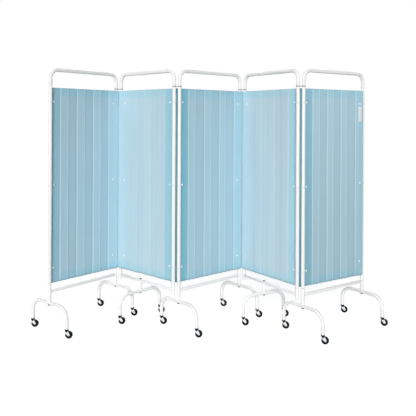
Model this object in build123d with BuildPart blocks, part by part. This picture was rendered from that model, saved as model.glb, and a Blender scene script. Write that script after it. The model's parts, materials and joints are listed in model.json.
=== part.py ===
from build123d import *
from math import cos, sin, radians
import os

# Mobile folding screen: five tube frames hinged in a zigzag, each with a pleated curtain,
# standing on eight arched tube feet with sixteen swivel castors. Lengths in millimetres,
# +Z up, +X to the viewer's right, +Y away from the viewer, the floor at Z zero.

# Overall sizes
overall_height = 1820.0
panel_width = 612.0
hinge_pitch = 38.0

# Plan angle of each panel from the X axis, left to right, as the screen stands
panel_turns = (52.0, -45.0, 44.0, -57.0, 36.5)
panel_count = len(panel_turns)

# Frame tube
tube_d = 25.0
tube_r = tube_d / 2

# Top bow, and the heights of the joints between bow, uprights and lower frame
bow_height = 122.0
upper_hinge_z = overall_height - bow_height
lower_hinge_z = 326.0
bow_bend_r = 60.0
bow_z = overall_height - tube_r

# Hinge plates, clamped loosely between the tube ends
plate_t = 3.0
plate_play = 0.25
plate_ear_r = 14.5
plate_waist = 20.0
pivot_r = 5.0
pivot_running_fit = 0.05

# Pivot pins between bow, uprights and lower frame
pin_reach = 18.0
pin_end_gap = 1.0

# Lower frame
rail_d = 22.0
rail_z = 280.0
short_stub_end_z = 247.0

# Arched feet
foot_span = 371.0
foot_z = 203.0
foot_bend_r = 85.0
leg_end_z = 62.0
middle_foot_share = 0.404
saddle_gap = 0.3

# Foot bolts
bolt_r = 4.0
bolt_hole_r = 4.3
bolt_head_r = 7.5
bolt_head_t = 5.5
bolt_washer_r = 9.0
bolt_washer_t = 1.5
bolt_in_stub = 32.0
bolt_above_nut = 2.0

# Castors
wheel_d = 50.0
wheel_w = 17.0
tyre_crown = 2.5
castor_trail = 15.0
axle_r = 3.0
axle_running_fit = 0.06
fork_side_gap = 0.8
fork_sheet = 1.8
fork_top_gap = 1.2
fork_eye_r = 9.0
fork_top_half = 11.0
fork_knee_back = 9.0
fork_knee_z = 30.0
cap_neck_r = 9.5
cap_rim_r = 15.0
cap_rim_t = 2.0
cap_play = 0.4
stem_r = 4.0
stem_len = 24.0
stem_running_fit = 0.06
socket_len = 28.0

# Curtains
curtain_below_hinge = 13.0
curtain_above_hinge = 5.0
cloth_t = 1.2
cloth_clear = 0.6
curtain_hinge_past = 12.0
curtain_free_past = -2.0
curtain_lead = 16.0
pleat_pitch = 153.0
pleat_width = 80.0
pleat_lap = 20.0
pleat_depth = 3.2

# Where the first box pleat of each curtain opens, as a share of the panel's width
first_pleat_shares = (0.12, 0.205, 0.135, 0.195, 0.15)

# One overrun for every through cut
overrun = 2.0

# Derived levels
pivot_bore_r = pivot_r + pivot_running_fit
upper_plate_bottom = upper_hinge_z - plate_t / 2
upper_plate_top = upper_hinge_z + plate_t / 2
lower_plate_bottom = lower_hinge_z - plate_t / 2
lower_plate_top = lower_hinge_z + plate_t / 2
upright_top_z = upper_plate_bottom - plate_play
upright_foot_z = lower_plate_top + plate_play
curtain_top_z = upper_hinge_z - curtain_below_hinge
curtain_bottom_z = lower_hinge_z + curtain_above_hinge
cloth_offset = tube_r + cloth_clear + cloth_t / 2
foot_top_z = foot_z + tube_r
foot_bottom_z = foot_z - tube_r
rail_top_z = rail_z + rail_d / 2
wheel_r = wheel_d / 2
fork_inner = wheel_w / 2 + fork_side_gap
fork_top_z = wheel_d + fork_top_gap + fork_sheet
cap_top_z = leg_end_z - cap_play


def heading(angle):
    return Vector(cos(radians(angle)), sin(radians(angle)), 0)


# Plan positions of the uprights, walked from the left end to the right end
def walk_plan():
    ends = []
    point = Vector(0, 0, 0)
    for index, turn in enumerate(panel_turns):
        far_end = point + heading(turn) * panel_width
        ends.append((point, far_end))
        if index + 1 < panel_count:
            bisector = (turn + panel_turns[index + 1]) / 2
            point = far_end + heading(bisector) * hinge_pitch
    return ends


# A panel with two feet carries one under each upright, the others one near the middle
def foot_shares(index):
    if index % 2 == 0:
        return (0.0, 1.0)
    return (middle_foot_share,)


# The bolt of a foot under an upright ends in the stub, that of a middle foot above the rail
def bolt_reach_z(index):
    if index % 2 == 0:
        return foot_z + tube_r + bolt_in_stub + overrun
    return rail_top_z + bolt_washer_t + bolt_head_t + bolt_above_nut + overrun


def leg_points(ends, index):
    left, right = ends[index]
    across = heading(panel_turns[index] + 90)
    points = []
    for share in foot_shares(index):
        centre = left + (right - left) * share
        points.append(centre - across * (foot_span / 2))
        points.append(centre + across * (foot_span / 2))
    return points


# The origin lies under the middle of the whole screen's bounding box
def centred_plan():
    ends = walk_plan()
    legs = [point for index in range(panel_count) for point in leg_points(ends, index)]
    low_x = min(point.X for point in legs) - cap_rim_r
    high_x = max(point.X for point in legs) + castor_trail + wheel_r
    low_y = min(point.Y for point in legs) - cap_rim_r
    high_y = max(point.Y for point in legs) + cap_rim_r
    middle = Vector((low_x + high_x) / 2, (low_y + high_y) / 2, 0)
    return [(left - middle, right - middle) for left, right in ends]


plan = centred_plan()


# Planes of one panel: its upright face, a level plane at any height, and one across its rail
def face_plane(index):
    turn = panel_turns[index]
    return Plane(origin=plan[index][0], x_dir=heading(turn), z_dir=heading(turn - 90))


def level_plane(index, height):
    origin = plan[index][0] + Vector(0, 0, height)
    return Plane(origin=origin, x_dir=heading(panel_turns[index]), z_dir=(0, 0, 1))


# A plane square to the cross rail, this far along it from the left upright
def rail_plane(index, distance):
    along = heading(panel_turns[index])
    return Plane(origin=plan[index][0] + along * distance + Vector(0, 0, rail_z), z_dir=along)


# A level plane centred on one upright
def upright_plane(index, side, height):
    origin = plan[index][side] + Vector(0, 0, height)
    return Plane(origin=origin, x_dir=heading(panel_turns[index]), z_dir=(0, 0, 1))


# A hinge joins this upright to the next panel unless it is a free end of the screen
def is_hinged(index, side):
    return not (index == 0 and side == 0) and not (index == panel_count - 1 and side == 1)


# The tube on the plain end of the screen runs on through the thickness of a hinge plate
def bow_leg_z(index, side):
    return upper_plate_top + plate_play if is_hinged(index, side) else upright_top_z


def stub_top_z(index, side):
    return lower_plate_bottom - plate_play if is_hinged(index, side) else upright_foot_z


os.makedirs("parts", exist_ok=True)


def write(part, name):
    part.label = name
    export_step(part, "parts/" + name + ".step")


# A round section on a plane, for pins and bores
def disc(plane, radius):
    with BuildSketch(plane) as section:
        Circle(radius)
    return section.sketch


# Upright: a straight tube, closed at both ends, with a pin above and a bore below
def upright(index, side):
    foot = upright_plane(index, side, upright_foot_z)
    top = upright_plane(index, side, upright_top_z)
    with BuildPart() as tube:
        with BuildSketch(foot):
            Circle(tube_r)
        extrude(amount=upright_top_z - upright_foot_z)
        extrude(disc(top, pivot_r), amount=bow_leg_z(index, side) - upright_top_z + pin_reach)
        extrude(disc(foot, pivot_bore_r), amount=pin_reach + pin_end_gap, mode=Mode.SUBTRACT)
    return tube.part


# Top bow: one tube bent down at both ends
def top_bow(index):
    with BuildPart() as bow:
        with BuildLine(face_plane(index)) as route:
            FilletPolyline(
                (0, bow_leg_z(index, 0)),
                (0, bow_z),
                (panel_width, bow_z),
                (panel_width, bow_leg_z(index, 1)),
                radius=bow_bend_r,
            )
        with BuildSketch(Plane(origin=route.line @ 0, z_dir=route.line % 0)):
            Circle(tube_r)
        sweep()
        for side in (0, 1):
            leg_end = upright_plane(index, side, bow_leg_z(index, side))
            extrude(disc(leg_end, pivot_bore_r), amount=pin_reach + pin_end_gap, mode=Mode.SUBTRACT)
    return bow.part


# Upper frame of a panel: the bow and its two uprights
def upper_frame(index):
    return Compound(children=[top_bow(index), upright(index, 0), upright(index, 1)])


# Lower frame of a panel: a cross rail welded between two stubs, with a pin on each stub
def lower_frame(index):
    across = heading(panel_turns[index] + 90)
    two_footed = len(foot_shares(index)) == 2
    stub_end_z = foot_z if two_footed else short_stub_end_z
    with BuildPart() as frame:
        with BuildSketch(rail_plane(index, 0)):
            Circle(rail_d / 2)
        extrude(amount=panel_width)
        for side in (0, 1):
            with BuildSketch(upright_plane(index, side, stub_end_z)):
                Circle(tube_r)
            extrude(amount=stub_top_z(index, side) - stub_end_z)
        for side in (0, 1):
            top = upright_plane(index, side, stub_top_z(index, side))
            pin_height = upright_foot_z - stub_top_z(index, side) + pin_reach
            extrude(disc(top, pivot_r), amount=pin_height)
        if two_footed:
            for side in (0, 1):
                saddle = Plane(origin=plan[index][side] + Vector(0, 0, foot_z), z_dir=across)
                with BuildSketch(saddle):
                    Circle(tube_r + saddle_gap)
                extrude(amount=tube_d, both=True, mode=Mode.SUBTRACT)
        for share in foot_shares(index):
            with BuildSketch(level_plane(index, foot_z)):
                with Locations((panel_width * share, 0)):
                    Circle(bolt_hole_r)
            extrude(amount=bolt_reach_z(index) - foot_z, mode=Mode.SUBTRACT)
    return frame.part


# Arched foot: one tube bent down at both ends, with a bolt hole through its crown
def foot_tube(index, share):
    crossing = level_plane(index, 0)
    centre = crossing.from_local_coords(Vector(panel_width * share, 0, 0))
    arch_plane = Plane(origin=centre, x_dir=crossing.y_dir, z_dir=crossing.x_dir)
    half = foot_span / 2
    with BuildPart() as foot:
        with BuildLine(arch_plane) as route:
            FilletPolyline(
                (-half, leg_end_z),
                (-half, foot_z),
                (half, foot_z),
                (half, leg_end_z),
                radius=foot_bend_r,
            )
        with BuildSketch(Plane(origin=route.line @ 0, z_dir=route.line % 0)):
            Circle(tube_r)
        sweep()
        leg_ends = Plane(origin=centre + Vector(0, 0, leg_end_z), x_dir=crossing.y_dir, z_dir=(0, 0, 1))
        with BuildSketch(leg_ends):
            with Locations((-half, 0), (half, 0)):
                Circle(stem_r + stem_running_fit)
        extrude(amount=socket_len, mode=Mode.SUBTRACT)
        with BuildSketch(Plane(origin=centre + Vector(0, 0, foot_bottom_z - overrun), z_dir=(0, 0, 1))):
            Circle(bolt_hole_r)
        extrude(amount=tube_d + 2 * overrun, mode=Mode.SUBTRACT)
    return foot.part


# Spacer tube between the cross rail and a foot that stands under the rail
def foot_spacer(index, share):
    crossing = level_plane(index, 0)
    centre = crossing.from_local_coords(Vector(panel_width * share, 0, 0))
    with BuildPart() as spacer:
        with BuildSketch(Plane(origin=centre + Vector(0, 0, foot_z), z_dir=(0, 0, 1))):
            Circle(tube_r)
            Circle(bolt_hole_r, mode=Mode.SUBTRACT)
        extrude(amount=rail_z - foot_z)
        with BuildSketch(Plane(origin=centre + Vector(0, 0, foot_z), z_dir=crossing.y_dir)):
            Circle(tube_r + saddle_gap)
        extrude(amount=tube_d, both=True, mode=Mode.SUBTRACT)
        with BuildSketch(Plane(origin=centre + Vector(0, 0, rail_z), z_dir=crossing.x_dir)):
            Circle(rail_d / 2 + saddle_gap)
        extrude(amount=tube_d, both=True, mode=Mode.SUBTRACT)
    return spacer.part


# Foot bolt with its hexagon under the foot; on a middle foot the far end stands above the rail
def foot_bolt(index, share):
    crossing = level_plane(index, 0)
    centre = crossing.from_local_coords(Vector(panel_width * share, 0, 0))
    seat = Plane(origin=centre + Vector(0, 0, foot_bottom_z - saddle_gap), z_dir=(0, 0, 1))
    with BuildPart() as bolt:
        with BuildSketch(seat):
            Circle(bolt_washer_r)
        extrude(amount=-bolt_washer_t)
        with BuildSketch(seat.offset(-bolt_washer_t)):
            RegularPolygon(bolt_head_r, 6)
        extrude(amount=-bolt_head_t)
        with BuildSketch(seat):
            Circle(bolt_r)
        extrude(amount=bolt_reach_z(index) - seat.origin.Z - overrun)
    solids = [bolt.part]
    if len(foot_shares(index)) == 1:
        nut_seat = Plane(origin=centre + Vector(0, 0, rail_top_z + saddle_gap), z_dir=(0, 0, 1))
        with BuildPart() as nut:
            with BuildSketch(nut_seat):
                Circle(bolt_washer_r)
                Circle(bolt_hole_r, mode=Mode.SUBTRACT)
            extrude(amount=bolt_washer_t)
            with BuildSketch(nut_seat.offset(bolt_washer_t)):
                RegularPolygon(bolt_head_r, 6)
                Circle(bolt_hole_r, mode=Mode.SUBTRACT)
            extrude(amount=bolt_head_t)
        solids.append(nut.part)
    return solids


# Feet of a panel with their bolts and spacer
def feet(index):
    solids = []
    for share in foot_shares(index):
        solids.append(foot_tube(index, share))
        solids.extend(foot_bolt(index, share))
        if len(foot_shares(index)) == 1:
            solids.append(foot_spacer(index, share))
    return Compound(children=solids)


# Hinge plate: a flat bar with round ears, bored for the pins of the two panels it joins
def hinge_plate(joint, height):
    first = plan[joint][1]
    second = plan[joint + 1][0]
    middle = (first + second) / 2 + Vector(0, 0, height - plate_t / 2)
    plane = Plane(origin=middle, x_dir=second - first, z_dir=(0, 0, 1))
    with BuildPart() as plate:
        with BuildSketch(plane):
            Rectangle(hinge_pitch, plate_waist)
            with Locations((-hinge_pitch / 2, 0), (hinge_pitch / 2, 0)):
                Circle(plate_ear_r)
            with Locations((-hinge_pitch / 2, 0), (hinge_pitch / 2, 0)):
                Circle(pivot_bore_r, mode=Mode.SUBTRACT)
        extrude(amount=plate_t)
    return plate.part


# Castor fork: folded sheet under a flared cap, with its stem and its axle
def castor_fork(point):
    floor = Plane(origin=point, x_dir=(1, 0, 0), z_dir=(0, 0, 1))
    side = Plane(origin=point, x_dir=(1, 0, 0), z_dir=(0, -1, 0))
    with BuildPart() as fork:
        for face in (fork_inner, -fork_inner - fork_sheet):
            with BuildSketch(side.offset(face)):
                with BuildLine():
                    Line((-fork_top_half, fork_top_z), (fork_top_half, fork_top_z))
                    Line((-fork_top_half, fork_top_z), (-fork_knee_back, fork_knee_z))
                    CenterArc((castor_trail, wheel_r), fork_eye_r, 0, 360)
                make_hull()
            extrude(amount=fork_sheet)
        with BuildSketch(floor.offset(fork_top_z)):
            Rectangle(2 * fork_top_half, 2 * (fork_inner + fork_sheet))
        extrude(amount=-fork_sheet)
        with BuildSketch(floor.offset(fork_top_z)):
            Circle(cap_neck_r)
        with BuildSketch(floor.offset(cap_top_z - cap_rim_t)):
            Circle(cap_rim_r)
        loft()
        with BuildSketch(floor.offset(cap_top_z)):
            Circle(cap_rim_r)
        extrude(amount=-cap_rim_t)
        with BuildSketch(floor.offset(cap_top_z)):
            Circle(stem_r)
        extrude(amount=stem_len)
        with BuildSketch(side.offset(-fork_inner)):
            with Locations((castor_trail, wheel_r)):
                Circle(axle_r)
        extrude(amount=2 * fork_inner)
    return fork.part


# Castor wheel: a flat-sided disc with a crowned tread, bored for its axle
def castor_wheel(point):
    hub = Plane(origin=point + Vector(castor_trail, 0, wheel_r), x_dir=(1, 0, 0), z_dir=(0, -1, 0))
    half = wheel_w / 2
    with BuildPart() as wheel:
        with BuildSketch(Plane(origin=hub.origin, x_dir=(1, 0, 0), z_dir=(0, 0, 1))):
            with BuildLine():
                Polyline(
                    (axle_r + axle_running_fit, -half),
                    (wheel_r - tyre_crown, -half),
                    (wheel_r, -half + tyre_crown),
                    (wheel_r, half - tyre_crown),
                    (wheel_r - tyre_crown, half),
                    (axle_r + axle_running_fit, half),
                    close=True,
                )
            make_face()
        revolve(axis=Axis(hub.origin, (0, 1, 0)))
    return wheel.part


# How far the cloth runs past the axis of an upright: it all but meets the next one at a hinge
def curtain_past(index, side):
    return curtain_hinge_past if is_hinged(index, side) else curtain_free_past


# Curtain in plan: flat along each upright, with box pleats between them. A pleat's front stands
# before the cloth on both sides of it, which runs on behind the pleat by the lap and folds back.
# The last pleat that opens may run on into the flat cloth at the right upright.
def curtain_run(index):
    near_side = 1 if index % 2 == 0 else -1
    start = near_side * cloth_offset
    slope = -2 * start / (panel_width - 2 * curtain_lead)
    flat_end = panel_width - curtain_lead

    def fold(distance, depth):
        return (distance, start + slope * (distance - curtain_lead) + depth)

    points = [(-curtain_past(index, 0), start), (curtain_lead, start)]
    opening = first_pleat_shares[index] * panel_width
    while opening + pleat_lap < flat_end:
        points.append(fold(opening + pleat_lap, pleat_depth))
        points.append(fold(opening, -pleat_depth))
        closing = opening + pleat_width
        if closing < flat_end:
            points.append(fold(closing, -pleat_depth))
            points.append(fold(closing - pleat_lap, pleat_depth))
        opening += pleat_pitch
    points.append((flat_end, -start))
    points.append((panel_width + curtain_past(index, 1), -start))
    return points


def curtain(index):
    with BuildPart() as cloth:
        with BuildSketch(level_plane(index, curtain_bottom_z)):
            with BuildLine():
                Polyline(*curtain_run(index))
            trace(line_width=cloth_t)
        extrude(amount=curtain_top_z - curtain_bottom_z)
    return cloth.part


for index in range(panel_count):
    number = index + 1
    write(upper_frame(index), f"upper_frame_{number}")
    write(lower_frame(index), f"lower_frame_{number}")
    write(feet(index), f"feet_{number}")
    write(curtain(index), f"curtain_{number}")

for joint in range(panel_count - 1):
    write(hinge_plate(joint, upper_hinge_z), f"upper_link_{joint + 1}")
    write(hinge_plate(joint, lower_hinge_z), f"lower_link_{joint + 1}")

castor_points = [point for index in range(panel_count) for point in leg_points(plan, index)]
for number, point in enumerate(castor_points, start=1):
    write(castor_fork(point), f"castor_fork_{number}")
    write(castor_wheel(point), f"castor_wheel_{number}")
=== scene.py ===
import json
import math

import bmesh
import bpy
from mathutils import Matrix, Vector, noise


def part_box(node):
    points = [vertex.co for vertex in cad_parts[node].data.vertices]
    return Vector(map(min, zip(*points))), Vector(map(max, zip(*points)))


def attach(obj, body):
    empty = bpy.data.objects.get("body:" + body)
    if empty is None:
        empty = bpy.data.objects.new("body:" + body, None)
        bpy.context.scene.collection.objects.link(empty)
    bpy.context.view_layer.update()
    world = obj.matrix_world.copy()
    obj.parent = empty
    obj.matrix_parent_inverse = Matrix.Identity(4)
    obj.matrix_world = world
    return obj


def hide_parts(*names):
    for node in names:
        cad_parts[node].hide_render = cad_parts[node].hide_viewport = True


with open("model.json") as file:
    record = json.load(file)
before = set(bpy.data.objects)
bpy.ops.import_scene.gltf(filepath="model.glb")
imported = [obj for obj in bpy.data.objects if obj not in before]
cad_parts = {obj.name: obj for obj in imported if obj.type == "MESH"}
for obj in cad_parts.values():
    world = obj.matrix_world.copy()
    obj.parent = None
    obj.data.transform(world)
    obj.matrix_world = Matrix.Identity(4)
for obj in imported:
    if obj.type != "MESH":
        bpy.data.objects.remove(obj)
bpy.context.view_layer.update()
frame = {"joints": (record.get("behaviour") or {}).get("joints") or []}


# Arched feet
# Each foot is one steel tube, bent down at both ends and powder-coated white. Panels 1, 3 and 5
# stand on a foot under each upright, panels 2 and 4 on one foot near their middle.
mm = 0.001
up = Vector((0, 0, 1))
joint_at = {joint["name"]: Vector(joint["pos_m"]) for joint in frame["joints"]}
tube_r = 12.5 * mm
tube_sides = 40
tube_end_round = 0.5 * mm
bend_steps = 18
foot_z = 203 * mm
foot_bend_r = 85 * mm
leg_end_z = 62 * mm
foot_castors = {1: (1, 3), 2: (5,), 3: (7, 9), 4: (11,), 5: (13, 15)}
weld_distance = 0.002 * mm
smooth_angle = math.radians(38)


def level(point):
    """The point on the floor below this one."""
    return Vector((point.x, point.y, 0))


def castor_pair(castor):
    """The swivel points of a foot's two castors, the first of them given."""
    return joint_at[f"castor_{castor}_swivel"], joint_at[f"castor_{castor + 1}_swivel"]


def foot_middle(castor):
    """The floor point midway between a foot's two castors."""
    near, far = castor_pair(castor)
    return level(near + far) / 2


def laid_along(run):
    """The matrix that turns the x axis along a level run."""
    return Matrix((run, up.cross(run), up)).transposed().to_4x4()


def foot_place(castor):
    """The matrix that carries a foot, made along x with its near leg at -x, to its place."""
    near, far = castor_pair(castor)
    return Matrix.Translation(foot_middle(castor)) @ laid_along(level(far - near).normalized())


foot_span = level(joint_at["castor_2_swivel"] - joint_at["castor_1_swivel"]).length


def build_unevenness():
    """A shader group for the slight unevenness of a hard finish: a fine grain and a broad stain."""
    group = bpy.data.node_groups.new("uneven_finish", "ShaderNodeTree")
    for label in ("Grain Scale", "Stain Scale", "Rough Low", "Rough High"):
        group.interface.new_socket(label, in_out="INPUT", socket_type="NodeSocketFloat")
    for label in ("Roughness", "Height", "Stain"):
        group.interface.new_socket(label, in_out="OUTPUT", socket_type="NodeSocketFloat")
    nodes, links = group.nodes, group.links
    entry, exit_ = nodes.new("NodeGroupInput"), nodes.new("NodeGroupOutput")
    where = nodes.new("ShaderNodeTexCoord")
    grain = nodes.new("ShaderNodeTexNoise")
    grain.inputs["Detail"].default_value = 4
    stain = nodes.new("ShaderNodeTexNoise")
    stain.inputs["Detail"].default_value = 3
    spread = nodes.new("ShaderNodeMapRange")
    for texture, scale in ((grain, "Grain Scale"), (stain, "Stain Scale")):
        links.new(where.outputs["Object"], texture.inputs["Vector"])
        links.new(entry.outputs[scale], texture.inputs["Scale"])
    links.new(stain.outputs["Fac"], spread.inputs["Value"])
    links.new(entry.outputs["Rough Low"], spread.inputs["To Min"])
    links.new(entry.outputs["Rough High"], spread.inputs["To Max"])
    links.new(spread.outputs["Result"], exit_.inputs["Roughness"])
    links.new(grain.outputs["Fac"], exit_.inputs["Height"])
    links.new(stain.outputs["Fac"], exit_.inputs["Stain"])
    return group


uneven_finish = build_unevenness()


def new_material(name):
    """A new material, its nodes, its links and its main shader."""
    material = bpy.data.materials.new(name)
    material.use_nodes = True
    nodes, links = material.node_tree.nodes, material.node_tree.links
    return material, nodes, links, nodes["Principled BSDF"]


def two_colours(nodes, light, dark):
    """A node that mixes a surface's light and dark colour."""
    colour = nodes.new("ShaderNodeMix")
    colour.data_type = "RGBA"
    colour.inputs["A"].default_value = (*light, 1)
    colour.inputs["B"].default_value = (*dark, 1)
    return colour


def raise_grain(height, nodes, links, shader, strength, depth):
    """Raises a shader's surface by a height socket."""
    bumps = nodes.new("ShaderNodeBump")
    bumps.inputs["Strength"].default_value = strength
    bumps.inputs["Distance"].default_value = depth
    links.new(height, bumps.inputs["Height"])
    links.new(bumps.outputs["Normal"], shader.inputs["Normal"])


grain_depth = 0.1 * mm


def hard_finish(name, light, dark, rough, grain_scale, stain_scale, bump, metallic=0.0, gloss=0.5):
    """A painted, plated or moulded surface: two close colours, uneven gloss and a fine grain."""
    material, nodes, links, shader = new_material(name)
    shader.inputs["Metallic"].default_value = metallic
    shader.inputs["Specular IOR Level"].default_value = gloss
    uneven = nodes.new("ShaderNodeGroup")
    uneven.node_tree = uneven_finish
    uneven.inputs["Grain Scale"].default_value = grain_scale
    uneven.inputs["Stain Scale"].default_value = stain_scale
    uneven.inputs["Rough Low"].default_value = rough[0]
    uneven.inputs["Rough High"].default_value = rough[1]
    colour = two_colours(nodes, light, dark)
    links.new(uneven.outputs["Stain"], colour.inputs["Factor"])
    links.new(colour.outputs["Result"], shader.inputs["Base Color"])
    links.new(uneven.outputs["Roughness"], shader.inputs["Roughness"])
    raise_grain(uneven.outputs["Height"], nodes, links, shader, bump, grain_depth)
    return material


white_powder_coat = hard_finish(
    "white_powder_coat", light=(0.90, 0.885, 0.87), dark=(0.85, 0.835, 0.82),
    rough=(0.34, 0.48), grain_scale=900, stain_scale=9, bump=0.12, gloss=0.12,
)


def edges_between(verts):
    """The edges whose two ends are both among these vertices, each once and in their order."""
    chosen = set(verts)
    near = dict.fromkeys(edge for vert in verts for edge in vert.link_edges)
    return [edge for edge in near if chosen.issuperset(edge.verts)]


def vertices_of(edges):
    """The vertices of these edges, each once and in their order."""
    return list(dict.fromkeys(vert for edge in edges for vert in edge.verts))


def only_vertices(geometry):
    return [part for part in geometry if isinstance(part, bmesh.types.BMVert)]


def start_tube(shape, radius, place, sides=tube_sides):
    """The first ring of a tube, square to the z axis of its place."""
    made = bmesh.ops.create_circle(shape, cap_ends=False, segments=sides, radius=radius, matrix=place)
    return edges_between(made["verts"])


def run_on(shape, rim, offset):
    """Carries a tube's last ring straight on by an offset and returns the new ring."""
    verts = only_vertices(bmesh.ops.extrude_edge_only(shape, edges=rim)["geom"])
    bmesh.ops.translate(shape, verts=verts, vec=offset)
    return edges_between(verts)


def bend_on(shape, geometry, centre, axis, angle, steps=bend_steps):
    """Carries vertices and edges round a bend and returns the last vertices."""
    return only_vertices(bmesh.ops.spin(
        shape, geom=geometry, cent=centre, axis=axis, dvec=(0, 0, 0), angle=angle, steps=steps,
        use_merge=False, use_normal_flip=False, use_duplicate=False,
    )["geom_last"])


def round_edges(shape, edges, round_by, segments=2):
    """Rounds these edges of a shape."""
    bmesh.ops.bevel(
        shape, geom=edges, offset=round_by, affect="EDGES", segments=segments, profile=0.5, material=-1
    )


def close_end(shape, rim, round_by=tube_end_round):
    """Closes a tube's end with a flat face and rounds its rim."""
    face = bmesh.ops.holes_fill(shape, edges=rim, sides=0)["faces"][0]
    round_edges(shape, list(face.edges), round_by)


def arched_tube(span, leg_z, crown_z, bend_r):
    """A tube bent down at both ends, made along x, its left and right legs ending at leg_z."""
    shape = bmesh.new()
    half = span / 2
    shoulder_z = crown_z - bend_r
    first = start_tube(shape, tube_r, Matrix.Translation((-half, 0, leg_z[0])))
    rim = run_on(shape, first, up * (shoulder_z - leg_z[0]))
    for bend_x in (-half + bend_r, half - bend_r):
        ring = bend_on(
            shape, vertices_of(rim) + rim, (bend_x, 0, shoulder_z), (0, 1, 0), math.pi / 2
        )
        onward = Vector((span - 2 * bend_r, 0, 0)) if bend_x < 0 else up * (leg_z[1] - shoulder_z)
        rim = run_on(shape, edges_between(ring), onward)
    close_end(shape, first)
    close_end(shape, rim)
    return shape


def put_in_scene(name, shape, finish, body):
    """Writes a finished shape as a piece that rides on its body."""
    mesh = bpy.data.meshes.new(name)
    shape.to_mesh(mesh)
    shape.free()
    mesh.shade_smooth()
    mesh.materials.append(finish)
    piece = bpy.data.objects.new(name, mesh)
    bpy.context.scene.collection.objects.link(piece)
    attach(piece, body)
    return piece


def make_piece(name, shape, place, body, finish):
    """Merges a solid shape's doubles, turns its faces out, carries it to its place and writes it."""
    bmesh.ops.remove_doubles(shape, verts=shape.verts, dist=weld_distance)
    bmesh.ops.recalc_face_normals(shape, faces=shape.faces)
    bmesh.ops.transform(shape, matrix=place, verts=shape.verts)
    piece = put_in_scene(name, shape, finish, body)
    piece.data.set_sharp_from_angle(angle=smooth_angle)
    return piece


for number, castors in foot_castors.items():
    for castor in castors:
        foot = make_piece(
            f"arched_foot_{castor // 2 + 1}",
            arched_tube(foot_span, (leg_end_z, leg_end_z), foot_z, foot_bend_r),
            foot_place(castor), f"panel_{number}", white_powder_coat,
        )
        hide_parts(f"feet_{number}")


# Lower frames
# Under each curtain a cross rail is welded between two short stubs, all of white-coated tube. A
# stub of panels 1, 3 and 5 is coped to sit on its foot; one of panels 2 and 4 ends in a plug.
upright_axes = {
    1: (foot_middle(1), foot_middle(3)),
    2: (level(joint_at["link_1_turn"]), level(joint_at["panel_2_fold"])),
    3: (foot_middle(7), foot_middle(9)),
    4: (level(joint_at["panel_4_fold"]), level(joint_at["link_4_turn"])),
    5: (foot_middle(13), foot_middle(15)),
}
panels = sorted(upright_axes)
panel_width = (upright_axes[3][1] - upright_axes[3][0]).length
side_names = ("left", "right")


def panel_place(number):
    """The matrix that carries a panel to its place in the screen. A panel is made along x from
    its left upright, with y pointing away from the viewer."""
    left, right = upright_axes[number]
    return Matrix.Translation(left) @ laid_along((right - left).normalized())


place_of = {number: panel_place(number) for number in panels}


def is_hinged(number, side):
    """Whether a hinge joins this side of a panel, 0 left or 1 right, to the next panel."""
    return (number, side) not in ((panels[0], 0), (panels[-1], 1))


rail_r = 11 * mm
rail_z = 280 * mm
rail_in_stub = 7 * mm
short_stub_end_z = 247 * mm
plate_low, plate_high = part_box("lower_link_1")
plate_t = plate_high.z - plate_low.z
hinge_washer_t = 0.8 * mm
plate_play = hinge_washer_t + 0.1 * mm
lower_plate_z = (plate_low.z + plate_high.z) / 2
upright_foot_z = lower_plate_z + plate_t / 2 + plate_play
saddle_r = tube_r + 0.3 * mm
cope_wall_share = 0.2
cope_core = 6 * mm


def cope_end(shape, rim, across, height, radius, outward):
    """Lays a tube's end on a round tube at this height and closes it inside that tube. Across is
    the coordinate square to that tube; outward is 1 where the end looks up, -1 where down."""
    for vert in vertices_of(rim):
        vert.co.z = height - outward * math.sqrt(max(radius ** 2 - vert.co[across] ** 2, 0))
    inner = run_on(shape, rim, Vector((0, 0, 0)))
    for vert in vertices_of(inner):
        vert.co.x *= 1 - cope_wall_share
        vert.co.y *= 1 - cope_wall_share
        vert.co.z = height - outward * cope_core
    bmesh.ops.holes_fill(shape, edges=inner, sides=0)


def open_tube(radius, place, offset):
    """A straight tube with open ends, and its first and last rings."""
    shape = bmesh.new()
    first = start_tube(shape, radius, place)
    return shape, first, run_on(shape, first, offset)


def stub_shape(number, side):
    """A short upright tube from a hinge plate down to the foot, or to its own plugged end."""
    top_z = lower_plate_z - plate_t / 2 - plate_play if is_hinged(number, side) else upright_foot_z
    stands_on_foot = len(foot_castors[number]) == 2
    end_z = foot_z if stands_on_foot else short_stub_end_z
    shape, first, last = open_tube(tube_r, Matrix.Translation((0, 0, top_z)), up * (end_z - top_z))
    close_end(shape, first)
    if stands_on_foot:
        cope_end(shape, last, 0, foot_z, saddle_r, -1)
    else:
        close_end(shape, last)
    return shape


def add_turned(shape, profile, sides, centre=(0, 0, 0)):
    """Adds a solid turned about an upright axis from a profile of (radius, height) points."""
    x, y, z = centre
    line = [shape.verts.new((x + radius, y, z + height)) for radius, height in profile]
    edges = [shape.edges.new(pair) for pair in zip(line, line[1:])]
    bmesh.ops.spin(
        shape, geom=line + edges, cent=centre, axis=(0, 0, 1), dvec=(0, 0, 0),
        angle=math.tau, steps=sides, use_merge=True, use_normal_flip=False, use_duplicate=False,
    )


def turned(profile, sides):
    """A solid turned about the z axis."""
    shape = bmesh.new()
    add_turned(shape, profile, sides)
    return shape


def straight_tube(radius, place, offset):
    """A straight tube with closed and rounded ends."""
    shape, first, last = open_tube(radius, place, offset)
    close_end(shape, first)
    close_end(shape, last)
    return shape


x_axis_up = Matrix.Rotation(math.pi / 2, 4, "Y")
rail_start = Matrix.Translation((rail_in_stub, 0, rail_z)) @ x_axis_up
rail_run = Vector((panel_width - 2 * rail_in_stub, 0, 0))
bead_rise = 1.3 * mm
bead_run = 2.4 * mm
bead_ripple = 0.12 * mm
bead_sink = 0.1 * mm
bead_ripples = 26
bead_rings = 5


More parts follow.
